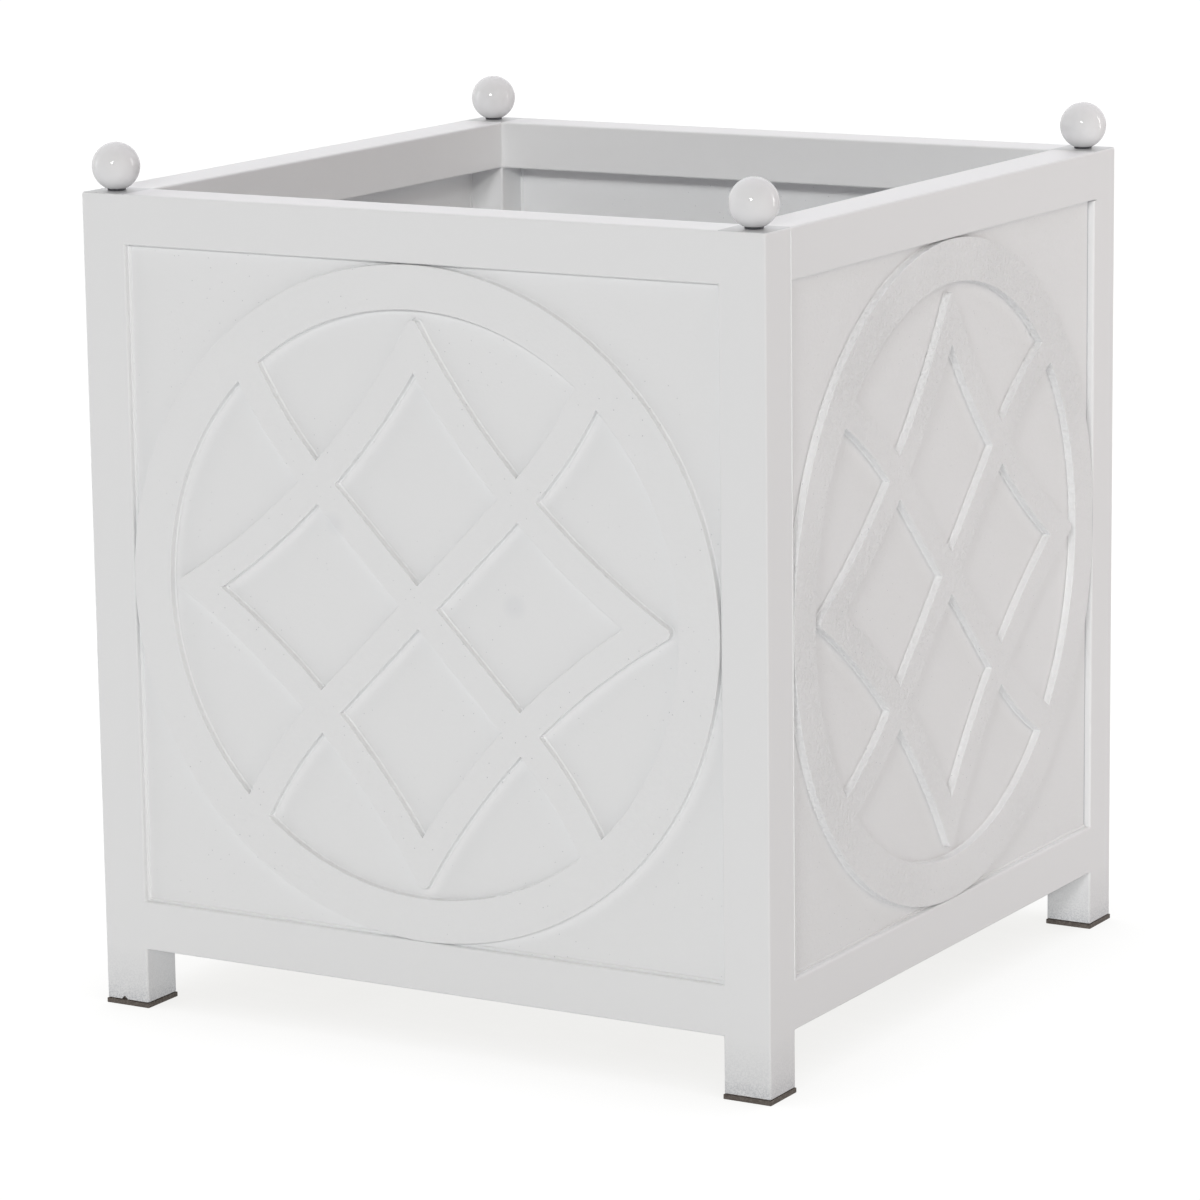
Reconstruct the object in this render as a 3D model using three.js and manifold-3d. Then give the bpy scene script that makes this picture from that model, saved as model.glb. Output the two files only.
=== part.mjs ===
// Square steel garden planter: a welded frame of square tube with four recessed sheet sides,
// each behind a cut plate ornament, ball finials on the corner posts and push-in rubber feet.
// Millimetres, +Z up. The origin is the middle of the footprint, on the ground.

import * as THREE from 'three';
import { mergeVertices } from 'three/addons/utils/BufferGeometryUtils.js';
import Module from 'manifold-3d';

const wasm = await Module();
wasm.setup();

// ---- Driving dimensions -------------------------------------------------------------------

// Box
const width = 610; // left to right, over the frame
const depth = 610; // front to back, over the frame
const rimHeight = 660; // ground to the top of the rails
const groundClearance = 49; // ground to the underside of the bottom rails
const jointGap = 0.3; // weld or paint gap between two pieces that touch

// Frame tube
const tubeSize = 40;
const tubeWall = 2;
const tubeCornerRadius = 2;

// Sheet sides and the ornament on them
const panelRecess = 5.6; // frame face to sheet face
const panelThickness = 2;
const ornamentThickness = 6;
const ringClearance = 0.5; // ring to the frame at its nearest
const ringWidth = 34.5;
const barWidth = 24;
const starTipGap = 7.7; // star tip to the inside of the ring
const starTipRadius = 5;
const starBow = 19; // how far each side of the star bends inwards
const flareRadius = 355; // bend of the diagonals beyond the star, on the bar's middle
const flareTurn = Math.PI / 4; // how far they turn before the ring trims them

// Ball finials
const capThickness = 3;
const studDiameter = 8;
const studClearance = 0.3; // between the stud and its holes, all round
const studTail = 4; // stud below the nut
const collarDiameter = 14.5;
const collarHeight = 1.2;
const nutAcrossFlats = 13;
const nutHeight = 6.5;
const ballDiameter = 38;
const ballSeatDiameter = 16;
const ballBoreDepth = 14;
const studBoreRelief = 1.5; // stud end to the bottom of the ball's bore

// Feet
const footThickness = 4.5;
const footLip = 0.5; // foot beyond the post, all round
const footPlugHeight = 18;
const footPlugWall = 3;

// Floor
const floorThickness = 3;
const floorMargin = 2; // floor plate to the rails
const drainDiameter = 20;
const drainSpacing = 260;
const ledgeSize = 25; // both legs of the angle
const ledgeThickness = 3;
const ledgeRise = 26; // underside of the bottom rails to the top of the ledge
const braceSize = 25;
const braceWall = 2;

// Facets: an extruded arc gets twice its steps, and a hole is four arcs
const cornerSteps = 1;
const holeSteps = 2;
const arcSteps = 5;
const ringSteps = 40;
const ballSides = 24;
const ballRings = 10;
const studSides = 16;

// ---- Sizes that follow --------------------------------------------------------------------

const openingBottom = groundClearance + tubeSize;
const openingTop = rimHeight - tubeSize;
const openingHeight = openingTop - openingBottom;
const openingMiddle = (openingTop + openingBottom) / 2;
const postBottom = footThickness + jointGap;
const capBottom = rimHeight - capThickness;
const collarBottom = rimHeight + jointGap;
const ballSeat = collarBottom + collarHeight + jointGap;
const ledgeTop = groundClearance + ledgeRise;
const innerWidth = width - 2 * tubeSize;
const innerDepth = depth - 2 * tubeSize;
const boreRadius = studDiameter / 2 + studClearance;

// ---- Materials ----------------------------------------------------------------------------

const paint = (color, roughness) => new THREE.MeshStandardMaterial({ color, roughness, metalness: 0 });
const framePaint = paint(0xdcdddd, 0.45);
const panelPaint = paint(0xd6d8da, 0.5);
const ornamentPaint = paint(0xdadbdc, 0.5);
const finialPaint = paint(0xe4e4e6, 0.25);
const floorPaint = paint(0xcccdce, 0.6);
const steel = new THREE.MeshStandardMaterial({ color: 0xa9abad, roughness: 0.35, metalness: 1 });
const rubber = paint(0x2f2b28, 0.85);

// ---- Solid helpers ------------------------------------------------------------------------

// A closed geometry as a solid that can be joined and cut.
function toSolid(geometry) {
  const bare = geometry.clone();
  bare.deleteAttribute('normal');
  bare.deleteAttribute('uv');
  const merged = mergeVertices(bare);
  return new wasm.Manifold(new wasm.Mesh({
    numProp: 3,
    vertProperties: merged.attributes.position.array,
    triVerts: new Uint32Array(merged.index.array),
  }));
}

function toGeometry(solid) {
  const { vertProperties, triVerts } = solid.getMesh();
  const geometry = new THREE.BufferGeometry();
  geometry.setAttribute('position', new THREE.BufferAttribute(vertProperties, 3));
  geometry.setIndex(new THREE.BufferAttribute(triVerts, 1));
  geometry.computeVertexNormals();
  return geometry;
}

function join(...pieces) {
  return toGeometry(pieces.map(toSolid).reduce((whole, piece) => whole.add(piece)));
}

function cut(piece, ...tools) {
  return toGeometry(tools.map(toSolid).reduce((whole, tool) => whole.subtract(tool), toSolid(piece)));
}

function common(piece, other) {
  return toGeometry(toSolid(piece).intersect(toSolid(other)));
}

function extrude(outline, length, curveSegments = cornerSteps) {
  return new THREE.ExtrudeGeometry(outline, { depth: length, bevelEnabled: false, curveSegments });
}

function box(xSize, ySize, zSize, x, y, z) {
  return new THREE.BoxGeometry(xSize, ySize, zSize).translate(x, y, z);
}

// A square with round corners, traced anticlockwise into a Shape or a hole's Path.
function roundedSquare(outline, size, radius) {
  const corner = size / 2 - radius;
  for (let quarter = 0; quarter < 4; quarter += 1) {
    const start = quarter * Math.PI / 2;
    const x = quarter === 0 || quarter === 3 ? corner : -corner;
    const y = quarter < 2 ? corner : -corner;
    outline.absarc(x, y, radius, start, start + Math.PI / 2, false);
  }
  outline.closePath();
  return outline;
}

function roundHole(x, y, radius) {
  const hole = new THREE.Path();
  for (let quarter = 0; quarter < 4; quarter += 1) {
    const start = quarter * Math.PI / 2;
    hole.absarc(x, y, radius, start, start + Math.PI / 2, false);
  }
  hole.closePath();
  return hole;
}

// A length of square tube, open at both ends, standing on z = 0.
function squareTube(size, wall, cornerRadius, length) {
  const section = roundedSquare(new THREE.Shape(), size, cornerRadius);
  const boreCorner = Math.max(cornerRadius - wall, wall / 2);
  section.holes.push(roundedSquare(new THREE.Path(), size - 2 * wall, boreCorner));
  return extrude(section, length);
}

function piece(name, geometry, material, x = 0, y = 0, z = 0) {
  const mesh = new THREE.Mesh(geometry, material);
  mesh.name = name;
  mesh.position.set(x, y, z);
  return mesh;
}

// ---- Ornament -----------------------------------------------------------------------------
// The plate is drawn flat about its middle and fills the opening that it is given.

const onAxes = (x, y) => [[x, 0], [0, y], [-x, 0], [0, -y]].map((point) => new THREE.Vector2(...point));
const inQuarters = (x, y) => [[x, y], [-x, y], [-x, -y], [x, -y]].map((point) => new THREE.Vector2(...point));
const bearing = (from, to) => Math.atan2(to.y - from.y, to.x - from.x);

function oval(outline, halfWidth, halfHeight) {
  outline.absellipse(0, 0, halfWidth, halfHeight, 0, 2 * Math.PI, false, 0);
  return outline;
}

function ring(halfWidth, halfHeight) {
  const outline = oval(new THREE.Shape(), halfWidth, halfHeight);
  outline.holes.push(oval(new THREE.Path(), halfWidth - ringWidth, halfHeight - ringWidth));
  return extrude(outline, ornamentThickness, ringSteps);
}

// Each side of the star follows an arc that bends inwards by starBow between the centres of two
// rounded tips. The bar's middle line crosses a diagonal halfway along the side.
function starSide(tipX, tipY) {
  const halfChord = Math.hypot(tipX, tipY) / 2;
  const radius = (halfChord ** 2 + starBow ** 2) / (2 * starBow);
  const outwards = new THREE.Vector2(tipY, tipX).normalize();
  const centre = new THREE.Vector2(tipX / 2, tipY / 2).addScaledVector(outwards, radius - starBow);
  const outerRadius = radius - starTipRadius;
  const innerRadius = outerRadius + barWidth;
  const crossing = centre.clone().addScaledVector(outwards, barWidth / 2 - innerRadius);
  return { centre, outerRadius, innerRadius, crossing };
}

// The outer edge of the star: bent sides joined by rounded tips.
function starOutline(tips, centres, radius) {
  const outline = new THREE.Shape();
  centres.forEach((centre, quarter) => {
    const next = (quarter + 1) % centres.length;
    const tip = tips[next];
    outline.absarc(centre.x, centre.y, radius, bearing(centre, tips[quarter]), bearing(centre, tip), true);
    outline.absarc(tip.x, tip.y, starTipRadius, bearing(tip, centre), bearing(tip, centres[next]), false);
  });
  outline.closePath();
  return outline;
}

// The inner edge of the star: bent sides that meet in sharp corners on the axes.
function starHole(centres, radius) {
  const [{ x, y }] = centres;
  const corners = onAxes(x - Math.sqrt(radius ** 2 - y ** 2), y - Math.sqrt(radius ** 2 - x ** 2));
  const hole = new THREE.Path();
  centres.forEach((centre, quarter) => {
    const next = corners[(quarter + 1) % corners.length];
    hole.absarc(centre.x, centre.y, radius, bearing(centre, corners[quarter]), bearing(centre, next), true);
  });
  hole.closePath();
  return hole;
}

function star(tipX, tipY, { centre, outerRadius, innerRadius }) {
  const centres = inQuarters(centre.x, centre.y);
  const outline = starOutline(onAxes(tipX, tipY), centres, outerRadius);
  outline.holes.push(starHole(centres, innerRadius));
  return extrude(outline, ornamentThickness, arcSteps);
}

// One diagonal arm beyond the star: it leaves the crossing straight on and bends upright.
function flareOutline(crossing) {
  const start = crossing.angle() - Math.PI / 2;
  const end = start + flareTurn;
  const bend = new THREE.Vector2(-flareRadius, 0).rotateAround(new THREE.Vector2(), start).add(crossing);
  const outline = new THREE.Shape();
  outline.absarc(bend.x, bend.y, flareRadius + barWidth / 2, start, end, false);
  outline.absarc(bend.x, bend.y, flareRadius - barWidth / 2, end, start, true);
  outline.closePath();
  return outline;
}

// Two straight diagonals between the crossings and four flares beyond them.
function diagonals(crossing) {
  const straight = box(2 * crossing.length(), barWidth, ornamentThickness, 0, 0, ornamentThickness / 2);
  const bars = [crossing.angle(), -crossing.angle()].map((angle) => straight.clone().rotateZ(angle));
  const points = flareOutline(crossing).getPoints(arcSteps);
  const flares = inQuarters(1, 1).map((sign) => (
    extrude(new THREE.Shape(points.map((point) => point.clone().multiply(sign))), ornamentThickness)
  ));
  return [...bars, ...flares];
}

// Ring, star and crossed diagonals as one cut plate, standing on z = 0.
function ornament(plateWidth, plateHeight) {
  const halfWidth = plateWidth / 2 - ringClearance;
  const halfHeight = plateHeight / 2 - ringClearance;
  const ringToTip = ringWidth + starTipGap + starTipRadius;
  const tipX = halfWidth - ringToTip;
  const tipY = halfHeight - ringToTip;
  const side = starSide(tipX, tipY);
  const lattice = join(star(tipX, tipY, side), ...diagonals(side.crossing));
  const ringMiddle = oval(new THREE.Shape(), halfWidth - ringWidth / 2, halfHeight - ringWidth / 2);
  const trimmed = common(lattice, extrude(ringMiddle, ornamentThickness, ringSteps));
  return join(ring(halfWidth, halfHeight), trimmed);
}

// ---- Sides --------------------------------------------------------------------------------

function rail(name, span, reach, bottom) {
  const length = span - 2 * (tubeSize + jointGap);
  const geometry = squareTube(tubeSize, tubeWall, tubeCornerRadius, length);
  geometry.rotateY(Math.PI / 2);
  return piece(name, geometry, framePaint, -length / 2, tubeSize / 2 - reach, bottom + tubeSize / 2);
}

function sidePanel(name, span, reach) {
  const sheet = box(span - 2 * (tubeSize + jointGap), panelThickness, openingHeight - 2 * jointGap, 0, 0, 0);
  return piece(name, sheet, panelPaint, 0, panelRecess + panelThickness / 2 - reach, openingMiddle);
}

function sideOrnament(name, span, reach, turned) {
  const openingWidth = span - 2 * tubeSize;
  const plate = turned
    ? ornament(openingHeight, openingWidth).rotateZ(Math.PI / 2)
    : ornament(openingWidth, openingHeight);
  plate.rotateX(Math.PI / 2);
  return piece(name, plate, ornamentPaint, 0, panelRecess - jointGap - reach, openingMiddle);
}

// An angle along the bottom rail: one leg flat against the rail, the other level at its top.
// The section is drawn with x away from the rail and y down.
function ledge(name, length, reach) {
  const section = new THREE.Shape();
  section.moveTo(0, 0);
  section.lineTo(ledgeSize, 0);
  section.lineTo(ledgeSize, ledgeThickness);
  section.lineTo(ledgeThickness, ledgeThickness);
  section.lineTo(ledgeThickness, ledgeSize);
  section.lineTo(0, ledgeSize);
  section.closePath();
  const geometry = extrude(section, length).rotateZ(Math.PI / 2).rotateY(-Math.PI / 2);
  return piece(name, geometry, floorPaint, length / 2, tubeSize + jointGap - reach, ledgeTop);
}

// Everything on one side, built as the front and turned into place.
function side(name, turn, span, reach, ledgeLength, turned) {
  const group = new THREE.Group();
  group.rotation.z = turn;
  group.add(rail(`${name}_top_rail`, span, reach, openingTop));
  group.add(rail(`${name}_bottom_rail`, span, reach, groundClearance));
  group.add(sidePanel(`${name}_panel`, span, reach));
  group.add(sideOrnament(`${name}_ornament`, span, reach, turned));
  group.add(ledge(`${name}_floor_ledge`, ledgeLength, reach));
  return group;
}

// ---- Corners ------------------------------------------------------------------------------

function postCap() {
  const outline = roundedSquare(new THREE.Shape(), tubeSize, tubeCornerRadius);
  outline.holes.push(roundHole(0, 0, boreRadius));
  return extrude(outline, capThickness, holeSteps);
}

function lathe(profile, sides) {
  return new THREE.LatheGeometry(profile.map(([r, z]) => new THREE.Vector2(r, z)), sides).rotateX(Math.PI / 2);
}

// Threaded rod with a round collar that the ball tightens down on. Its zero is the collar's underside.
function stud() {
  const radius = studDiameter / 2;
  const top = collarHeight + jointGap + ballBoreDepth - studBoreRelief;
  const bottom = -(jointGap + capThickness + jointGap + nutHeight + studTail);
  return lathe([
    [0, bottom], [radius, bottom], [radius, 0], [collarDiameter / 2, 0],
    [collarDiameter / 2, collarHeight], [radius, collarHeight], [radius, top], [0, top],
  ], studSides);
}

function nut() {
  const outline = new THREE.Shape();
  const cornerRadius = nutAcrossFlats / Math.sqrt(3);
  for (let corner = 0; corner < 6; corner += 1) {
    const angle = corner * Math.PI / 3;
    const point = [cornerRadius * Math.cos(angle), cornerRadius * Math.sin(angle)];
    if (corner === 0) outline.moveTo(...point);
    else outline.lineTo(...point);
  }
  outline.closePath();
  outline.holes.push(roundHole(0, 0, boreRadius));
  return extrude(outline, nutHeight, holeSteps);
}

// Solid ball with a flat seat below and a blind bore for the stud. Its zero is the seat.
function ball() {
  const radius = ballDiameter / 2;
  const seatAngle = Math.asin(ballSeatDiameter / ballDiameter);
  const middle = radius * Math.cos(seatAngle);
  const profile = [[0, ballBoreDepth], [boreRadius, ballBoreDepth], [boreRadius, 0]];
  for (let step = 0; step <= ballRings; step += 1) {
    const angle = seatAngle + (Math.PI - seatAngle) * step / ballRings;
    const onAxis = step === ballRings;
    profile.push([onAxis ? 0 : radius * Math.sin(angle), middle - radius * Math.cos(angle)]);
  }
  return lathe(profile, ballSides);
}

// Rubber foot: a flat pad under the post and a hollow plug pushed up inside it.
function foot() {
  const padSize = tubeSize + 2 * footLip;
  const plugSize = tubeSize - 2 * (tubeWall + jointGap);
  const pad = extrude(roundedSquare(new THREE.Shape(), padSize, tubeCornerRadius + footLip), footThickness);
  const plug = squareTube(plugSize, footPlugWall, tubeWall, footThickness + footPlugHeight);
  return join(pad, plug);
}

function corner(name, xSign, ySign) {
  const group = new THREE.Group();
  group.position.set(xSign * (width - tubeSize) / 2, ySign * (depth - tubeSize) / 2, 0);
  const post = squareTube(tubeSize, tubeWall, tubeCornerRadius, capBottom - jointGap - postBottom);
  group.add(piece(`${name}_post`, post, framePaint, 0, 0, postBottom));
  group.add(piece(`${name}_post_cap`, postCap(), framePaint, 0, 0, capBottom));
  group.add(piece(`${name}_finial_stud`, stud(), steel, 0, 0, collarBottom));
  group.add(piece(`${name}_finial_nut`, nut(), steel, 0, 0, capBottom - jointGap - nutHeight));
  group.add(piece(`${name}_ball_finial`, ball(), finialPaint, 0, 0, ballSeat));
  group.add(piece(`${name}_foot`, foot(), rubber));
  return group;
}

// ---- Floor --------------------------------------------------------------------------------

function floorPlate() {
  const halfWidth = innerWidth / 2 - floorMargin;
  const halfDepth = innerDepth / 2 - floorMargin;
  const outline = new THREE.Shape();
  outline.moveTo(-halfWidth, -halfDepth);
  outline.lineTo(halfWidth, -halfDepth);
  outline.lineTo(halfWidth, halfDepth);
  outline.lineTo(-halfWidth, halfDepth);
  outline.closePath();
  for (const x of [-drainSpacing / 2, drainSpacing / 2]) {
    for (const y of [-drainSpacing / 2, drainSpacing / 2]) {
      outline.holes.push(roundHole(x, y, drainDiameter / 2));
    }
  }
  return piece('floor_plate', extrude(outline, floorThickness, holeSteps), floorPaint, 0, 0, ledgeTop + jointGap);
}

// Square tube under the middle of the floor. Its ends are coped to pass under the ledges.
function floorBrace() {
  const length = innerDepth - 2 * (jointGap + ledgeThickness + jointGap);
  const copeLength = ledgeSize - ledgeThickness;
  const copeDepth = ledgeThickness + jointGap;
  const bar = squareTube(braceSize, braceWall, braceWall, length).rotateX(Math.PI / 2).translate(0, length / 2, 0);
  const copes = [-1, 1].map((end) => box(
    2 * braceSize, 2 * copeLength, 2 * copeDepth, 0, end * length / 2, braceSize / 2,
  ));
  return piece('floor_brace', cut(bar, ...copes), floorPaint, 0, 0, ledgeTop - braceSize / 2);
}

// ---- Assembly -----------------------------------------------------------------------------

const planter = new THREE.Group();

const longLedge = innerWidth - 2 * jointGap;
const shortLedge = innerDepth - 2 * (jointGap + ledgeSize + jointGap);
planter.add(side('front', 0, width, depth / 2, longLedge, false));
planter.add(side('right', Math.PI / 2, depth, width / 2, shortLedge, true));
planter.add(side('back', Math.PI, width, depth / 2, longLedge, false));
planter.add(side('left', -Math.PI / 2, depth, width / 2, shortLedge, true));

planter.add(corner('front_left', -1, -1));
planter.add(corner('front_right', 1, -1));
planter.add(corner('back_right', 1, 1));
planter.add(corner('back_left', -1, 1));

planter.add(floorPlate());
planter.add(floorBrace());

export default planter;
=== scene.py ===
"""A square Versailles planter of painted steel, dressed around its CAD frame.

Run as a script: it loads the frame, registers the tools below and calls them in order. Every tool makes one
piece, or one group of like pieces, in metres and in the frame's own axes.
"""

import math

import bpy
from bpy.props import FloatProperty, FloatVectorProperty, PointerProperty
from mathutils import Matrix, Vector


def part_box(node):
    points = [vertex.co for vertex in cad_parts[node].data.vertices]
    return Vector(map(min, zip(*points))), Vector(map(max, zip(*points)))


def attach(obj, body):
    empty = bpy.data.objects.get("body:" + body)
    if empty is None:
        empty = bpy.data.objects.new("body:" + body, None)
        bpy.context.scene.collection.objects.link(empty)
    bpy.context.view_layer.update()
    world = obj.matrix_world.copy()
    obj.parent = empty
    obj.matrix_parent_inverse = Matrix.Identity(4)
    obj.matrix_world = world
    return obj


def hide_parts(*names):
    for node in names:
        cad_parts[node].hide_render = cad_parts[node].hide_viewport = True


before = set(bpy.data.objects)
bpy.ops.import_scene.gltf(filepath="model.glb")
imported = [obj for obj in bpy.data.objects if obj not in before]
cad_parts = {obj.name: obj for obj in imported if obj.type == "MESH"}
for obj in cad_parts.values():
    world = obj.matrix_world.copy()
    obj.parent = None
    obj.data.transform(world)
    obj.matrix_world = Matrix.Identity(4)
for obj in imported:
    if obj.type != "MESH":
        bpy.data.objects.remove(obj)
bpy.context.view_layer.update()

bl_info = {
    "name": "Versailles Planter",
    "version": (1, 0, 0),
    "blender": (4, 5, 0),
    "location": "3D View > Sidebar > Planter",
    "description": "Builds the painted steel frame, ornaments, finials and feet of a square garden planter",
    "category": "Object",
}

SIDES = ("front", "right", "back", "left")
CORNERS = ("front_left", "front_right", "back_right", "back_left")
QUARTER = math.pi / 2

POST_LOW, POST_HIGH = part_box("front_right_post")
TUBE = POST_HIGH.x - POST_LOW.x
HALF_WIDTH = POST_HIGH.x
HALF_DEPTH = -POST_LOW.y
FOOT_TOP = POST_LOW.z
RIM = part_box("front_top_rail")[1].z
OPENING_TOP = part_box("front_top_rail")[0].z
OPENING_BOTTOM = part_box("front_bottom_rail")[1].z
RAIL_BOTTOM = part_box("front_bottom_rail")[0].z
OPENING_MIDDLE = (OPENING_TOP + OPENING_BOTTOM) / 2
INNER_WIDTH = HALF_WIDTH - TUBE
INNER_DEPTH = HALF_DEPTH - TUBE

# Tolerances in metres: on one flat face, at one place, and clear of a place
SAME_FACE = 1e-6
SAME_PLACE = 1e-5
CLEAR = 1e-4
# Z of a face's normal: more than the first on a level face, less than the second on a wall
LEVEL, WALL = 0.99, 0.5
# Turns in radians: from one side of a square tube to the next, and at a corner of a cut plate
ARRIS_TURN = 1.0
CORNER_TURN = math.radians(18)


# ---- What a user may change ---------------------------------------------------------------


def length(name, description, default, low=0.0):
    return FloatProperty(
        name=name,
        description=description,
        default=default,
        min=low,
        precision=5,
        subtype="DISTANCE",
        unit="LENGTH",
    )


def colour(name, description, default):
    return FloatVectorProperty(
        name=name, description=description, default=default, size=3, min=0.0, max=1.0, subtype="COLOR"
    )


def strength(name, description, default):
    return FloatProperty(name=name, description=description, default=default, min=0.0)


class PlanterSizes(bpy.types.PropertyGroup):
    """Sizes of the details that the CAD frame leaves plain."""

    arris: length("Arris", "Radius of the frame's painted edges", 0.0018)
    ring_width: length("Ring Width", "Width of the ornament's ring", 0.0345)
    bar_width: length("Bar Width", "Width of the star's sides and the diagonals", 0.024)
    tip_gap: length("Tip Gap", "From a star tip to the inside of the ring", 0.0077)
    tip_radius: length("Tip Radius", "Radius of the star's tips", 0.005)
    star_bow: length("Star Bow", "How far each side of the star bends inwards", 0.019)
    flare_radius: length("Flare Radius", "Bend of the diagonals beyond the star", 0.355)
    plate_edge: length("Plate Edge", "Radius of the ornament's painted front edge", 0.0006)
    plate_foot: length("Plate Foot", "Radius of the paint fillet between ornament and sheet", 0.0014)
    bead: length("Bead", "Width of the paint bead between sheet and frame", 0.0012)
    foot_chamfer: length("Foot Chamfer", "Chamfer around the feet", 0.0005)
    foot_groove: length("Foot Groove", "Height of the groove between a foot's pad and its post", 0.0006)
    seam: length("Seam", "Width of the paint ridge along the near post, on the right side", 0.0012)
    nick: length("Nick", "Size of the nick in the paint over the front left foot", 0.0042)


class PlanterColours(bpy.types.PropertyGroup):
    """Paint, rubber and steel colours."""

    paint: colour("Paint", "Off-white paint of the frame and the ornaments", (0.86, 0.865, 0.87))
    shade: colour("Shade", "The same paint where it lies thin or dusty", (0.74, 0.75, 0.77))
    # Painted shade: the post cap tops are drawn in this darker colour, standing for the finials' shadow and the
    # reflection they block
    cap: colour("Cap", "Duller paint on the post caps", (0.6, 0.61, 0.62))
    # Also painted shade: this grey draws the far joint of the right side, where the gap lies in shade
    soot_and_shade: colour("Soot", "Grey steel that shows through low on the legs and in pinholes", (0.3, 0.32, 0.36))
    ball: colour("Ball", "Gloss paint of the finials", (0.84, 0.84, 0.85))
    rubber: colour("Rubber", "Rubber of the feet", (0.085, 0.07, 0.06))
    # Partly painted shade: the zinc is set this dark so that the collars under the balls show as dark as the
    # shade there
    steel: colour("Steel", "Dulled zinc of the studs and nuts", (0.1, 0.1, 0.11))
    ground: colour("Ground", "Studio floor in the shade under the planter", (0.79, 0.785, 0.77))


# Name, azimuth from the front, elevation, spread in degrees, strength, tint
SUNS = (
    ("back_light", 180, 58, 50, 1.37, (0.95, 0.94, 1.0)),
    ("left_light", -90, 27, 60, 1.45, (1.0, 0.97, 0.96)),
    ("right_light", 75, 27, 60, 0.5, (1.0, 0.89, 0.83)),
    ("key_lamp", 27, 17.5, 5, 0.55, (0.98, 1.0, 0.97)),
    ("second_lamp", 15, 21, 11, 0.77, (1.0, 1.0, 1.0)),
)
# Name, azimuth from the front, elevation, distance, power, width, height, tint, seen in the gloss only
LAMPS = (
    ("far_lamp", 114, 20, 1.6, 2.6, 1.2, 1.2, (1.0, 0.9, 0.87), False),
    ("left_strip", -70, 4, 3, 7.0, 0.2, 2.8, (1.0, 1.0, 1.0), True),
    ("right_strip", 122, 4, 3, 18.0, 0.25, 3.2, (1.0, 0.98, 0.97), True),
)
# Name: roughness, depth of the orange peel and of the cast lumps in metres, and how deep the pinholes show
PAINTS = {
    "frame_satin_paint": (0.24, 0.00005, 0.0, 0.0),
    "panel_sprayed_paint": (0.34, 0.00008, 0.0002, 0.8),
    "ornament_sprayed_paint": (0.3, 0.00008, 0.0006, 1.0),
    "bottom_matt_paint": (0.5, 0.0001, 0.0001, 0.5),
}
# How far each mark takes the paint to its second colour; the cap and crevice marks are painted shade
CLOUD, CAP_PAINTED_SHADE, SOOT, HOLE, CREVICE_SHADE, SMUDGE = 0.1, 0.9, 0.55, 0.8, 0.5, 0.35
# Faint round smudges on the front: across, up and width
SMUDGES = ((-0.0755, 0.413, 0.024), (0.0833, 0.362, 0.024))
# Nick over the front left foot: where it is across the tube, and its depth
NICK_ACROSS, NICK_DEPTH = 0.42, 0.006
# Unfilled joint at the far top corner of the right side: a pit and a slit, from that corner, and their sizes
JOINT_GAPS = (
    ((-0.008, -0.0008, -0.0016), (0.01, 0.0016, 0.0016)),
    ((-0.008, -0.001, -0.0005), (0.01, 0.0052, 0.0007)),
)


class PlanterStudio(bpy.types.PropertyGroup):
    """The camera and the lights."""

    camera_place: FloatVectorProperty(
        name="Camera Place",
        description="Where the camera stands",
        default=(2.03686, -3.51147, 1.13104),
        subtype="XYZ",
        unit="LENGTH",
    )
    camera_azimuth: FloatProperty(
        name="Camera Azimuth",
        description="Turn of the view to the right of the front",
        default=math.radians(30.3143),
        subtype="ANGLE",
    )
    camera_elevation: FloatProperty(
        name="Camera Elevation",
        description="Height of the view over the level",
        default=math.radians(11.4998),
        subtype="ANGLE",
    )
    camera_roll: FloatProperty(
        name="Camera Roll", description="Tilt of the camera", default=math.radians(-0.7491), subtype="ANGLE"
    )
    camera_lens: FloatProperty(
        name="Camera Lens",
        description="Focal length on a 36 mm sensor",
        default=151.464,
        min=1.0,
        unit="CAMERA",
    )
    light: strength("Light", "Strength of all the lights together", 1.0)
    room: strength("Room", "Brightness of the white room in the gloss", 1.0)
    floor: strength("Floor", "Brightness of the open floor", 1.05)
    bounce: strength("Bounce", "Light that the floor throws back up", 0.51)


# ---- Modelling ----------------------------------------------------------------------------


def settle(obj, name):
    """Names a new object and its mesh, and puts its place into its mesh."""
    bpy.ops.object.select_all(action="DESELECT")
    obj.name = obj.data.name = name
    obj.select_set(True)
    bpy.context.view_layer.objects.active = obj
    bpy.ops.object.transform_apply(location=True, rotation=True, scale=True)
    return obj


def start(add, name, scale=(1, 1, 1), **place):
    """Adds a primitive on its own, stretched and settled."""
    bpy.ops.object.select_all(action="DESELECT")
    add(**place)
    obj = bpy.context.active_object
    obj.scale = scale
    return settle(obj, name)


def block(name, low, high):
    low, high = Vector(low), Vector(high)
    return start(bpy.ops.mesh.primitive_cube_add, name, size=1, location=(low + high) / 2, scale=high - low)


def edit(obj, choose=None, kind="FACE"):
    """Opens a mesh in edit mode with only the faces, edges or vertices that choose() accepts selected."""
    bpy.ops.object.select_all(action="DESELECT")
    obj.select_set(True)
    bpy.context.view_layer.objects.active = obj
    bpy.ops.object.mode_set(mode="EDIT")
    bpy.ops.mesh.select_mode(type=kind)
    bpy.ops.mesh.select_all(action="DESELECT" if choose else "SELECT")
    if choose:
        bpy.ops.object.mode_set(mode="OBJECT")
        mesh = obj.data
        items = {"FACE": mesh.polygons, "EDGE": mesh.edges, "VERT": mesh.vertices}[kind]
        for item in items:
            item.select = choose(item)
        bpy.ops.object.mode_set(mode="EDIT")


def close():
    bpy.ops.object.mode_set(mode="OBJECT")


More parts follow.
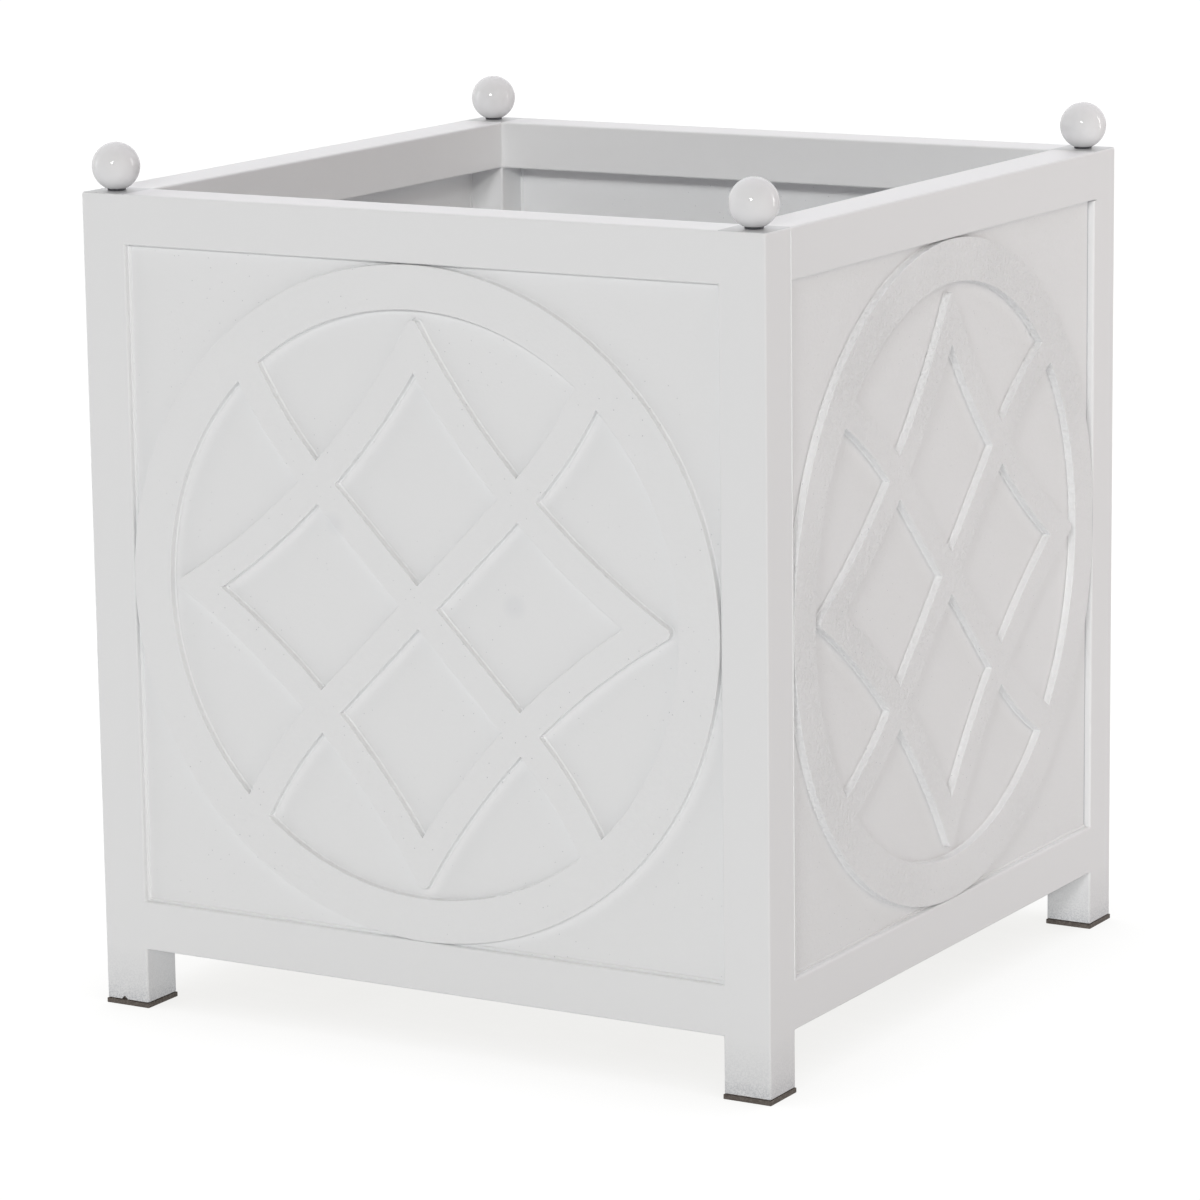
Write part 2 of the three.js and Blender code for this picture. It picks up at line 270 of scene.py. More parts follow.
def finish_modifier(obj, kind, **values):
    """Adds a modifier and applies it."""
    bpy.ops.object.select_all(action="DESELECT")
    obj.select_set(True)
    bpy.context.view_layer.objects.active = obj
    modifier = obj.modifiers.new(kind.title(), kind)
    for key, value in values.items():
        setattr(modifier, key, value)
    bpy.ops.object.modifier_apply(modifier=modifier.name)


def carve(obj, tool, operation="DIFFERENCE"):
    """Cuts a tool out of a piece, or joins it in, and throws the tool away."""
    finish_modifier(obj, "BOOLEAN", object=tool, operation=operation, solver="EXACT")
    bpy.data.objects.remove(tool)


def clean(obj, angle=0.0006):
    """Merges what a cut left doubled and dissolves the needless edges on its flat faces."""
    edit(obj)
    bpy.ops.mesh.remove_doubles(threshold=SAME_PLACE)
    bpy.ops.mesh.dissolve_limited(angle_limit=angle)
    bpy.ops.mesh.normals_make_consistent(inside=False)
    close()


def smooth(obj, angle=35):
    """Shades a piece smooth over its rounded edges and flat on its flat faces."""
    bpy.ops.object.select_all(action="DESELECT")
    obj.select_set(True)
    bpy.context.view_layer.objects.active = obj
    bpy.ops.object.shade_smooth_by_angle(angle=math.radians(angle))
    finish_modifier(obj, "WEIGHTED_NORMAL", keep_sharp=True, weight=100)


def copied(obj, name, place=Matrix.Identity(4)):
    """A copy with a mesh of its own, put in place by a matrix."""
    twin = obj.copy()
    twin.data = obj.data.copy()
    bpy.context.scene.collection.objects.link(twin)
    twin.data.transform(place)
    twin.name = twin.data.name = name
    if place.determinant() < 0:
        edit(twin)
        bpy.ops.mesh.flip_normals()
        close()
    return twin


def outline(name, begin, moves, low, high):
    """A prism whose outline a vertex draws: it turns about a centre, or goes straight to a point."""
    bpy.ops.object.select_all(action="DESELECT")
    bpy.ops.mesh.primitive_plane_add(size=0.001, location=(0, 0, 0))
    obj = bpy.context.active_object
    edit(obj)
    bpy.ops.mesh.merge(type="CENTER")
    close()
    obj.data.vertices[0].co = (*begin, low)
    edit(obj, lambda vertex: True, "VERT")
    at = Vector(begin)
    for move in moves:
        if len(move) == 1:
            step = Vector(move[0]) - at
            bpy.ops.mesh.extrude_region_move(TRANSFORM_OT_translate={"value": (*step, 0)})
            at = Vector(move[0])
        else:
            centre, turn, steps = move
            bpy.ops.mesh.spin(steps=steps, angle=turn, center=(*centre, low), axis=(0, 0, -1))
            arm = at - Vector(centre)
            cos, sin = math.cos(turn), math.sin(turn)
            at = Vector(centre) + Vector((arm.x * cos - arm.y * sin, arm.x * sin + arm.y * cos))
    bpy.ops.mesh.select_all(action="SELECT")
    bpy.ops.mesh.remove_doubles(threshold=2 * SAME_PLACE)
    bpy.ops.mesh.edge_face_add()
    bpy.ops.mesh.extrude_region_move(TRANSFORM_OT_translate={"value": (0, 0, high - low)})
    bpy.ops.mesh.select_all(action="SELECT")
    bpy.ops.mesh.normals_make_consistent(inside=False)
    close()
    return settle(obj, name)


def put_on(obj, body, slot, *nodes):
    """Makes a piece ride on its body and stand for CAD nodes, which it hides. The slot is not used."""
    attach(obj, body)
    if nodes:
        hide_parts(*nodes)
    return obj


def dress(obj, material):
    obj.data.materials.clear()
    obj.data.materials.append(material)


# ---- Materials ----------------------------------------------------------------------------


class Signal:
    """A socket whose sums are written as Python expressions. Each one adds a Math node."""

    def __init__(self, finish, socket):
        self.finish, self.socket = finish, socket

    def math(self, operation, *values, clamp=False):
        return self.finish.node(
            "ShaderNodeMath", {"operation": operation, "use_clamp": clamp}, dict(enumerate((self, *values)))
        )

    def __add__(self, other):
        return self.math("ADD", other)

    def __sub__(self, other):
        return self.math("SUBTRACT", other)

    def __rsub__(self, other):
        return self.finish.node("ShaderNodeMath", {"operation": "SUBTRACT"}, {0: other, 1: self})

    def __mul__(self, other):
        return self.math("MULTIPLY", other)

    def __truediv__(self, other):
        return self.math("DIVIDE", other)

    def __abs__(self):
        return self.math("ABSOLUTE")

    def __lt__(self, other):
        return self.math("LESS_THAN", other)

    __radd__ = __add__
    __rmul__ = __mul__


class Finish:
    """A material, built node by node around its Principled shader."""

    def __init__(self, name):
        self.material = bpy.data.materials.new(name)
        self.material.use_nodes = True
        self.nodes = self.material.node_tree.nodes
        self.links = self.material.node_tree.links
        self.shader = self.nodes["Principled BSDF"]
        self.where = self.node("ShaderNodeTexCoord", output="Object")

    def feed(self, socket, value):
        if isinstance(value, Signal):
            self.links.new(value.socket, socket)
        elif socket.type == "RGBA" and len(value) == 3:
            socket.default_value = (*value, 1)
        else:
            socket.default_value = value

    def node(self, kind, options=None, inputs=None, output=0):
        """Adds a node of a type, sets its own settings and then its sockets, and gives one of its outputs."""
        made = self.nodes.new(kind)
        for key, value in (options or {}).items():
            if key == "stops":
                while len(made.color_ramp.elements) < len(value):
                    made.color_ramp.elements.new(0.5)
                for element, (place, shade) in zip(made.color_ramp.elements, value):
                    element.position, element.color = place, (shade, shade, shade, 1)
            else:
                setattr(made, key, value)
        for key, value in (inputs or {}).items():
            self.feed(made.inputs[key], value)
        return Signal(self, made.outputs[output])

    def noise(self, scale, detail=2.0, roughness=0.5, stretch=None, seed=0.0):
        """Soft noise from 0 to 1. Scale is in waves per metre."""
        where = self.where
        if stretch or seed:
            moved = {"Vector": where, "Location": (seed, seed, seed), "Scale": stretch or (1, 1, 1)}
            where = self.node("ShaderNodeMapping", {}, moved)
        values = {"Vector": where, "Scale": scale, "Detail": detail, "Roughness": roughness}
        return self.node("ShaderNodeTexNoise", {}, values)

    def cells(self, scale, seed=0.0, upright=False):
        """Distance to the nearest of points strewn about, in cell widths, or strewn flat on upright faces."""
        where = self.node("ShaderNodeMapping", {}, {"Vector": self.where, "Location": (seed, seed, seed)})
        kind = {"feature": "F1"}
        if upright:
            place = {axis: self.node("ShaderNodeSeparateXYZ", {}, {0: where}, axis) for axis in "XYZ"}
            where = self.node("ShaderNodeCombineXYZ", {}, {"X": place["X"] + place["Y"], "Y": place["Z"]})
            kind["voronoi_dimensions"] = "2D"
        return self.node("ShaderNodeTexVoronoi", kind, {"Vector": where, "Scale": scale}, "Distance")

    def ramp(self, value, *stops):
        return self.node("ShaderNodeValToRGB", {"stops": stops}, {"Fac": value})

    def blend(self, factor, first, second):
        """From the first colour to the second."""
        return self.node("ShaderNodeMix", {"data_type": "RGBA"}, {0: factor, 6: first, 7: second}, 2)

    def spot(self, x, z, wide):
        """A soft round spot on the front, 1 at its middle."""
        there = self.node("ShaderNodeCombineXYZ", {}, {0: self.axis("X"), 2: self.axis("Z")})
        gap = self.node("ShaderNodeVectorMath", {"operation": "DISTANCE"}, {0: there, 1: (x, 0, z)}, "Value")
        return self.ramp(gap / wide, (0.2, 1.0), (0.5, 0.0)) * (self.axis("Y") < -0.25)

    def above(self, value, level):
        """1 where a value is over a level, else 0."""
        return self.node("ShaderNodeMath", {"operation": "GREATER_THAN"}, {0: value, 1: level})

    def axis(self, name):
        return self.node("ShaderNodeSeparateXYZ", {}, {0: self.where}, name)

    def bump(self, *layers):
        """Bumps one over another. A layer is a height from 0 to 1 and its depth in metres."""
        normal = None
        for height, depth in layers:
            inputs = {"Height": height, "Distance": depth, "Strength": 1.0}
            if normal:
                inputs["Normal"] = normal
            normal = self.node("ShaderNodeBump", {}, inputs)
        return normal

    def done(self, **inputs):
        """Sets the shader's own sockets, by their names with _ for a space."""
        for key, value in inputs.items():
            self.feed(self.shader.inputs[key.replace("_", " ")], value)
        return self.material


def paint_finish(name, colours):
    """Sprayed off-white paint: orange peel, cast lumps, grit and pinholes, thin and sooty low on the legs, with
    painted shade on the post caps and along the far joint of the right side.
    """
    rough, peel, lumps, pinholes = PAINTS[name]
    paint = Finish(name)
    cloud = paint.noise(9, 3)
    grain = paint.noise(900, 2, seed=3.1)
    base = paint.blend(cloud * CLOUD, tuple(colours.paint), tuple(colours.shade))

    on_post = paint.above(abs(paint.axis("X")), INNER_WIDTH) * paint.above(abs(paint.axis("Y")), INNER_DEPTH)
    # Painted shade: the whole top of each post cap is darkened for the finial's shadow and the reflection it
    # blocks
    on_cap = on_post * paint.above(paint.axis("Z"), RIM - 4 * CLEAR)
    base = paint.blend(on_cap * CAP_PAINTED_SHADE, base, tuple(colours.cap))

    low = paint.ramp(paint.axis("Z") / 0.05, (0.09, 1.0), (0.35, 0.35), (1.0, 0.0))
    speckle = paint.ramp(paint.noise(900, 2, 0.7, seed=7.7), (0.38, 0.15), (0.62, 1.0))
    base = paint.blend(low * speckle * SOOT, base, tuple(colours.soot_and_shade))

    layers = [(paint.noise(380, 2, seed=2.0), peel)]
    if pinholes:
        pocked = paint.ramp(paint.noise(14, 2, seed=5.0), (0.50, 0.0), (0.62, 1.0))
        hole = paint.ramp(paint.cells(62, 1.3, upright=True), (0.014, 1.0), (0.026, 0.0)) * pocked * pinholes
        grit = paint.ramp(paint.cells(310, 0.7), (0.1, 1.0), (0.22, 0.0)) * pocked
        on_right = paint.above(paint.axis("X"), HALF_WIDTH - 0.01)
        rough_cast = paint.ramp(paint.noise(5, 2, seed=8.0), (0.35, 0.25), (0.65, 1.0)) * (on_right * 0.75 + 0.25)
        marks = paint.ramp(paint.noise(280, 3, 0.6, seed=9.0), (0.4, 0.0), (0.6, 1.0)) * rough_cast
        base = paint.blend(marks * (lumps / 0.008), base, tuple(colours.shade))
        # Painted shade: a dark line along the right panel's joint with its far post, where the gap lies in shade
        crevice_painted_shade = on_right * paint.above(paint.axis("Y"), INNER_DEPTH - 0.0018)
        base = paint.blend(hole * HOLE + crevice_painted_shade * CREVICE_SHADE, base, tuple(colours.soot_and_shade))
        for x, z, wide in SMUDGES:
            base = paint.blend(paint.spot(x, z, wide) * SMUDGE, base, tuple(colours.shade))
        layers += [(marks, lumps), (grit, 0.00006 * pinholes), (1 - hole, 0.0003 * pinholes)]
    return paint.done(
        Base_Color=base,
        Roughness=rough + grain * 0.1 + cloud * 0.05,
        IOR=1.5,
        Normal=paint.bump(*layers),
    )


def ball_finish(colours):
    """Gloss paint on a turned steel ball."""
    gloss = Finish("finial_gloss_paint")
    wave = gloss.noise(70, 2)
    base = gloss.blend(gloss.noise(30, 2, seed=4.0) * 0.2, tuple(colours.ball), tuple(colours.shade))
    return gloss.done(
        Base_Color=base,
        Roughness=0.03 + gloss.noise(400, 2, seed=1.0) * 0.02,
        IOR=1.5,
        Normal=gloss.bump((wave, 0.00004)),
    )


def rubber_finish(colours):
    """Moulded rubber, scuffed and dusty."""
    rubber = Finish("foot_rubber")
    scuff = rubber.noise(260, 3, 0.65, stretch=(1, 1, 3))
    dust = rubber.ramp(rubber.noise(500, 3, 0.7, seed=2.0), (0.4, 0.0), (0.75, 1.0))
    tone = rubber.blend(scuff, tuple(c * 0.6 for c in colours.rubber), tuple(c * 1.5 for c in colours.rubber))
    return rubber.done(
        Base_Color=rubber.blend(dust * 0.35, tone, (0.36, 0.32, 0.29)),
        Roughness=0.6 + scuff * 0.25,
        Normal=rubber.bump((rubber.noise(1500, 2, seed=6.0), 0.00012), (scuff, 0.0002)),
    )


def steel_finish(colours):
    """Zinc plate with a cloudy spangle and turned scratches."""
    steel = Finish("zinc_plated_steel")
    spangle = steel.cells(600, 0.4)
    scratch = steel.noise(2500, 2, stretch=(1, 1, 0.1))
    base = steel.blend(spangle, tuple(colours.steel), tuple(c * 0.7 for c in colours.steel))
    return steel.done(
        Base_Color=base, Metallic=1.0, Roughness=0.3 + scratch * 0.2, Normal=steel.bump((scratch, 0.00005))
    )


def ground_finish(name, tone, shade, glow):
    """White studio floor that glows, less where something stands close over it as a painted shadow, with faint
    wiped streaks.
    """
    ground = Finish(name)
    streak = ground.noise(14, 4, 0.6, stretch=(1, 4, 1))
    # Painted shadow: the glow dims where occlusion finds something close above the floor
    openness = ground.node("ShaderNodeAmbientOcclusion", {"samples": 8}, {"Distance": 0.16}, "AO")
    shaded = ground.blend(streak, shade, tuple(c * 0.975 for c in shade))
    return ground.done(
        Base_Color=ground.blend(streak * 0.3, tone, tuple(c * 0.97 for c in tone)),
        Roughness=0.75 + streak * 0.1,
        Specular_IOR_Level=0.0,
        Emission_Color=ground.blend(openness, shaded, (1.0, 1.0, 1.0)),
        Emission_Strength=glow,
    )


# ---- Pieces -------------------------------------------------------------------------------


def settings():
    """The sizes, the colours and the studio, as the user has set them."""
    scene = bpy.context.scene
    return scene.planter_sizes, scene.planter_colours, scene.planter_studio


class PLANTER_OT_frame(bpy.types.Operator):
    """Welded frame: posts, rails and caps as one painted body with round arrises"""

    bl_idname = "planter.frame"
    bl_label = "Frame"

    def execute(self, context):
        sizes, colours, _ = settings()
        body = block("welded_frame", (-HALF_WIDTH, -HALF_DEPTH, FOOT_TOP), (HALF_WIDTH, HALF_DEPTH, RIM))
        far = 1.0
        carve(body, block("well", (-INNER_WIDTH, -INNER_DEPTH, -far), (INNER_WIDTH, INNER_DEPTH, far)))
        for low, high in ((OPENING_BOTTOM, OPENING_TOP), (-far, RAIL_BOTTOM)):
            carve(body, block("window", (-INNER_WIDTH, -far, low), (INNER_WIDTH, far, high)))
            carve(body, block("window", (-far, -INNER_DEPTH, low), (far, INNER_DEPTH, high)))
        clean(body)
        corners = normals_by_edge(body)
        edit(
            body,
            lambda edge: corners[edge.key][0].angle(corners[edge.key][1]) > ARRIS_TURN
            and any(body.data.vertices[v].co.z > FOOT_TOP + CLEAR for v in edge.vertices),
            "EDGE",
        )
        bpy.ops.mesh.bevel(offset=sizes.arris, segments=4, profile=0.5, affect="EDGES")
        close()
        nick = start(
            bpy.ops.mesh.primitive_cube_add,
            "nick",
            size=1,
            location=(-HALF_WIDTH + NICK_ACROSS * TUBE, -HALF_DEPTH, FOOT_TOP),
            rotation=(0, QUARTER / 2, 0),
            scale=(sizes.nick, NICK_DEPTH, sizes.nick),
        )
        carve(body, nick)
        sunk = 0.001
        seam = block(
            "seam",
            (HALF_WIDTH - sunk, -INNER_DEPTH - sizes.seam, OPENING_BOTTOM),
            (HALF_WIDTH + sizes.seam / 2, -INNER_DEPTH, RIM - sizes.arris),
        )
        finish_modifier(seam, "BEVEL", width=sizes.seam / 3, segments=2, limit_method="ANGLE")
        carve(body, seam, "UNION")
        far_corner = Vector((HALF_WIDTH, INNER_DEPTH, OPENING_TOP))
        for away, size in JOINT_GAPS:
            low = far_corner + Vector(away)
            carve(body, block("gap", low, low + Vector(size)))
        smooth(body)
        dress(body, paint_finish("frame_satin_paint", colours))
        nodes = [f"{corner}_{part}" for corner in CORNERS for part in ("post", "post_cap")]
        nodes += [f"{side}_{part}" for side in SIDES for part in ("top_rail", "bottom_rail")]
        put_on(body, "root", "frame", *nodes)
        return {"FINISHED"}


class PLANTER_OT_panels(bpy.types.Operator):
    """Sheet sides: rough sprayed paint on the CAD sheets, and paint beads where they meet the frame"""

    bl_idname = "planter.panels"
    bl_label = "Panels"

    def execute(self, context):
        sizes, colours, _ = settings()
        paint = paint_finish("panel_sprayed_paint", colours)
        for side in SIDES:
            dress(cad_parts[f"{side}_panel"], paint)
        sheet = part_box("front_panel")[0].y
        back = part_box("front_panel")[1].y
        for face, reach, label in ((sheet, -sizes.bead, "outer"), (back, sizes.bead, "inner")):
            bead = start(
                bpy.ops.mesh.primitive_plane_add,
                "bead",
                size=1,
                location=(0, face, OPENING_MIDDLE),
                rotation=(QUARTER if reach < 0 else -QUARTER, 0, 0),
                scale=(2 * INNER_WIDTH, OPENING_TOP - OPENING_BOTTOM, 1),
            )
            edit(bead)
            bpy.ops.mesh.inset(thickness=2 * sizes.bead, use_even_offset=True)
            bpy.ops.mesh.delete(type="FACE")
            bpy.ops.mesh.select_all(action="SELECT")
            bpy.ops.mesh.extrude_region_move(TRANSFORM_OT_translate={"value": (0, reach, 0)})
            close()
            inner = INNER_WIDTH - 1.5 * sizes.bead
            edit(
                bead,
                lambda edge: all(
                    abs(bead.data.vertices[v].co.y - face - reach) < SAME_FACE
                    and abs(bead.data.vertices[v].co.x) < inner
                    for v in edge.vertices
                ),
                "EDGE",
            )
            bpy.ops.mesh.bevel(offset=sizes.bead * 0.98, segments=4, profile=0.32, affect="EDGES")
            bpy.ops.mesh.select_all(action="SELECT")
            bpy.ops.mesh.normals_make_consistent(inside=False)
            close()
            if label == "outer":
                top, right = OPENING_TOP - 2.2 * sizes.bead, INNER_WIDTH - 2.2 * sizes.bead
                edit(bead, lambda face: face.center.z > top or face.center.x > right)
                bpy.ops.mesh.delete(type="FACE")
                bpy.ops.mesh.select_all(action="SELECT")
                bpy.ops.mesh.fill_holes(sides=0)
                bpy.ops.mesh.normals_make_consistent(inside=False)
                close()
            smooth(bead, 50)
            dress(bead, paint)
            for turn, side in enumerate(SIDES):
                twin = copied(bead, f"{side}_{label}_bead", Matrix.Rotation(turn * QUARTER, 4, "Z"))
                put_on(twin, "root", "panel")
            bpy.data.objects.remove(bead)
        return {"FINISHED"}


def ornament_plate(sizes, half_width, half_height, thickness):
    """Ring, four-pointed star and flared diagonals as one cut plate, lying on z = 0."""
    tip_x = half_width - sizes.ring_width - sizes.tip_gap - sizes.tip_radius
    tip_y = half_height - sizes.ring_width - sizes.tip_gap - sizes.tip_radius
    half_chord = math.hypot(tip_x, tip_y) / 2
    radius = (half_chord**2 + sizes.star_bow**2) / (2 * sizes.star_bow)
    outwards = Vector((tip_y, tip_x)).normalized()
    centre = Vector((tip_x / 2, tip_y / 2)) + outwards * (radius - sizes.star_bow)
    outer = radius - sizes.tip_radius
    inner = outer + sizes.bar_width
    crossing = centre - outwards * (inner - sizes.bar_width / 2)
    centres = [Vector((centre.x * x, centre.y * y)) for x, y in ((1, 1), (-1, 1), (-1, -1), (1, -1))]
    tips = [Vector(tip) for tip in ((tip_x, 0), (0, tip_y), (-tip_x, 0), (0, -tip_y))]

    def bearing(start_point, end_point):
        return math.atan2(end_point.y - start_point.y, end_point.x - start_point.x)

    def turn_between(a, b):
        return (b - a + math.pi) % (2 * math.pi) - math.pi

    def on_circle(middle, reach, angle):
        return middle + Vector((math.cos(angle), math.sin(angle))) * reach

    # Each cutter reaches further past the plate than the one before, so that no two of their ends lie level
    t = thickness
    moves = []
    for quarter, middle in enumerate(centres):
        tip, after = tips[(quarter + 1) % 4], centres[(quarter + 1) % 4]
        moves.append((middle, turn_between(bearing(middle, tips[quarter]), bearing(middle, tip)), 48))
        moves.append((tip, turn_between(bearing(tip, middle), bearing(tip, after)), 14))
    begin = on_circle(centres[0], outer, bearing(centres[0], tips[0]))
    star = outline("star", begin, moves, -2 * t, 3 * t)

    corner_x = centre.x - math.sqrt(inner**2 - centre.y**2)
    corner_y = centre.y - math.sqrt(inner**2 - centre.x**2)
    corners = [Vector(point) for point in ((corner_x, 0), (0, corner_y), (-corner_x, 0), (0, -corner_y))]
    moves = []
    for quarter, middle in enumerate(centres):
        after = corners[(quarter + 1) % 4]
        moves.append((middle, turn_between(bearing(middle, corners[quarter]), bearing(middle, after)), 44))
    carve(star, outline("star_hole", corners[0], moves, -3 * t, 4 * t))

    start_angle = math.atan2(crossing.y, crossing.x) - QUARTER
    bend = crossing - on_circle(Vector((0, 0)), sizes.flare_radius, start_angle)
    near, far = sizes.flare_radius - sizes.bar_width / 2, sizes.flare_radius + sizes.bar_width / 2
    turn = math.pi / 4
    flare = outline(
        "flare",
        on_circle(bend, far, start_angle),
        [(bend, turn, 40), (on_circle(bend, near, start_angle + turn),), (bend, -turn, 40)],
        -2.5 * t,
        3.5 * t,
    )
    overlap = 0.002
    half_bar = Vector((crossing.length + overlap, sizes.bar_width / 2))
    bar = block("bar", (*-half_bar, -2.2 * t), (*half_bar, 3.2 * t))

    def oval(name, half_x, half_y, low, high):
        return start(
            bpy.ops.mesh.primitive_cylinder_add,
            name,
            vertices=256,
            radius=1,
            depth=1,
            location=(0, 0, (low + high) / 2),
            scale=(half_x, half_y, high - low),
        )

    waste = oval("waste", half_width - sizes.ring_width, half_height - sizes.ring_width, -t, 2 * t)
    carve(waste, star)
    slope = math.atan2(crossing.y, crossing.x)
    for sign in (1, -1):
        carve(waste, copied(bar, "bar_cut", Matrix.Rotation(sign * slope, 4, "Z")))
    for x, y in ((1, 1), (-1, 1), (-1, -1), (1, -1)):
        carve(waste, copied(flare, "flare_cut", Matrix.Diagonal((x, y, 1, 1))))
    bpy.data.objects.remove(bar)
    bpy.data.objects.remove(flare)
    clean(waste)
    plate = oval("plate", half_width, half_height, -t / 4, t)
    carve(plate, waste)
    clean(plate)
    thin_out(plate, 1.6 * sizes.plate_foot)
    walls = normals_by_edge(plate)
    edit(
        plate,
        lambda edge: all(plate.data.vertices[v].co.z > t - SAME_FACE for v in edge.vertices)
        and any(abs(normal.z) < WALL for normal in walls[edge.key]),
        "EDGE",
    )
    bpy.ops.mesh.bevel(offset=sizes.plate_edge, segments=3, profile=0.5, affect="EDGES", clamp_overlap=False)
    close()
    return with_foot(plate, half_width, half_height, sizes.plate_foot, t)


def normals_by_edge(obj):
    """Copies of the normals of the faces at each edge, because a change of mode frees the faces."""
    found = {}
    for face in obj.data.polygons:
        for key in face.edge_keys:
            found.setdefault(key, []).append(face.normal.copy())
    return found


def thin_out(plate, reach):
    """Dissolves the upright edges that stand too close to a corner of a cut plate for its fillet."""
    mesh = plate.data
    upright = {}
    for key, normals in normals_by_edge(plate).items():
        a, b = mesh.vertices[key[0]].co, mesh.vertices[key[1]].co
        if abs(a.z - b.z) > CLEAR and (a - b).xy.length < SAME_PLACE:
            upright[key] = (a.xy, normals[0].angle(normals[1]))
    corners = [place for place, turn in upright.values() if turn > CORNER_TURN]
    crowded = {
        key
        for key, (place, turn) in upright.items()
        if turn <= CORNER_TURN and any((place - corner).length < reach for corner in corners)
    }
    edit(plate, lambda edge: edge.key in crowded, "EDGE")
    bpy.ops.mesh.dissolve_edges(use_verts=True)
    close()


def with_foot(plate, half_width, half_height, radius, thickness):
    """Joins a cut plate to a slab, sinks the slab's face around it to leave a fillet, and removes the slab."""
    margin = 0.02
    across, along = half_width + margin, half_height + margin
    slab = block("slab", (-across, -along, -thickness), (across, along, 0))
    carve(slab, plate, "UNION")
    clean(slab)
    edit(slab, lambda face: face.normal.z > LEVEL and abs(face.center.z) < SAME_FACE)
    bpy.ops.transform.translate(value=(0, 0, radius))
    before, step = 0.0, 30
    for turn in range(90 - step, -1, -step):
        aside = radius * (1 - math.sin(math.radians(turn)))
        down = radius * (math.cos(math.radians(turn)) - math.cos(math.radians(turn + step)))
        bpy.ops.mesh.inset(thickness=aside - before, depth=-down, use_even_offset=True, use_boundary=True)
        before = aside
    close()
    edit(
        slab,
        lambda face: (face.normal.z > LEVEL and abs(face.center.z) < SAME_PLACE)
        or face.center.z < -SAME_PLACE
        or abs(face.center.x) > half_width + margin / 2
        or abs(face.center.y) > half_height + margin / 2,
    )
    bpy.ops.mesh.delete(type="FACE")
    bpy.ops.mesh.select_mode(type="EDGE")
    bpy.ops.mesh.select_all(action="DESELECT")
    bpy.ops.mesh.select_non_manifold(extend=False)
    bpy.ops.mesh.fill(use_beauty=False)
    bpy.ops.mesh.select_all(action="SELECT")
    bpy.ops.mesh.normals_make_consistent(inside=False)
    close()
    smooth(slab)
    return slab


class PLANTER_OT_ornaments(bpy.types.Operator):
    """Ornaments: a cut plate on each side, with a soft painted edge and rough, pitted paint"""

    bl_idname = "planter.ornaments"
    bl_label = "Ornaments"

    def execute(self, context):
        sizes, colours, _ = settings()
        paint = paint_finish("ornament_sprayed_paint", colours)
        for kinds, turned in ((("front", "back"), False), (("right", "left"), True)):
            low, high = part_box(f"{kinds[0]}_ornament")
            across = (high.y - low.y) if turned else (high.x - low.x)
            upright = high.z - low.z
            thickness = (high.x - low.x) if turned else (high.y - low.y)
            if turned:
                plate = ornament_plate(sizes, upright / 2, across / 2, thickness)
                plate.data.transform(Matrix.Rotation(QUARTER, 4, "Z"))
            else:
                plate = ornament_plate(sizes, across / 2, upright / 2, thickness)
            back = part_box("front_ornament")[1].y
            stand = Matrix.Translation((0, back, OPENING_MIDDLE)) @ Matrix.Rotation(QUARTER, 4, "X")
            for side in kinds:
                spin = Matrix.Rotation(SIDES.index(side) * QUARTER, 4, "Z")
                twin = copied(plate, f"{side}_ornament_plate", spin @ stand)
                dress(twin, paint)
                put_on(twin, "root", "ornament", f"{side}_ornament")
            bpy.data.objects.remove(plate)
        return {"FINISHED"}


class PLANTER_OT_finials(bpy.types.Operator):
    """Finials: glossy turned balls on their collars"""

    bl_idname = "planter.finials"
    bl_label = "Finials"

    def execute(self, context):
        _, colours, _ = settings()
        gloss = ball_finish(colours)
        steel = steel_finish(colours)
        low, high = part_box("front_left_ball_finial")
        radius = (high.x - low.x) / 2
        centre = Vector(((low.x + high.x) / 2, (low.y + high.y) / 2, high.z - radius))
        ball = start(
            bpy.ops.mesh.primitive_uv_sphere_add,
            "ball",
            segments=96,
            ring_count=48,
            radius=radius,
            location=centre,
        )
        edit(ball)
        bpy.ops.mesh.bisect(
            plane_co=(0, 0, low.z), plane_no=(0, 0, 1), use_fill=True, clear_inner=True, clear_outer=False
        )
        close()
        edit(ball, lambda face: face.normal.z < -LEVEL and abs(face.center.z - low.z) < SAME_PLACE)
        shoulder, stud_hole = 0.0035, 0.0135
        bpy.ops.mesh.inset(thickness=shoulder)
        bpy.ops.mesh.extrude_region_move(TRANSFORM_OT_translate={"value": (0, 0, stud_hole)})
        close()
        smooth(ball, 40)
        dress(ball, gloss)
        for corner in CORNERS:
            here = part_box(f"{corner}_ball_finial")[0] - low
            twin = copied(ball, f"{corner}_ball", Matrix.Translation(here))
            put_on(twin, "root", "finial", f"{corner}_ball_finial")
            dress(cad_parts[f"{corner}_finial_stud"], steel)
            dress(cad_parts[f"{corner}_finial_nut"], steel)
        bpy.data.objects.remove(ball)
        return {"FINISHED"}


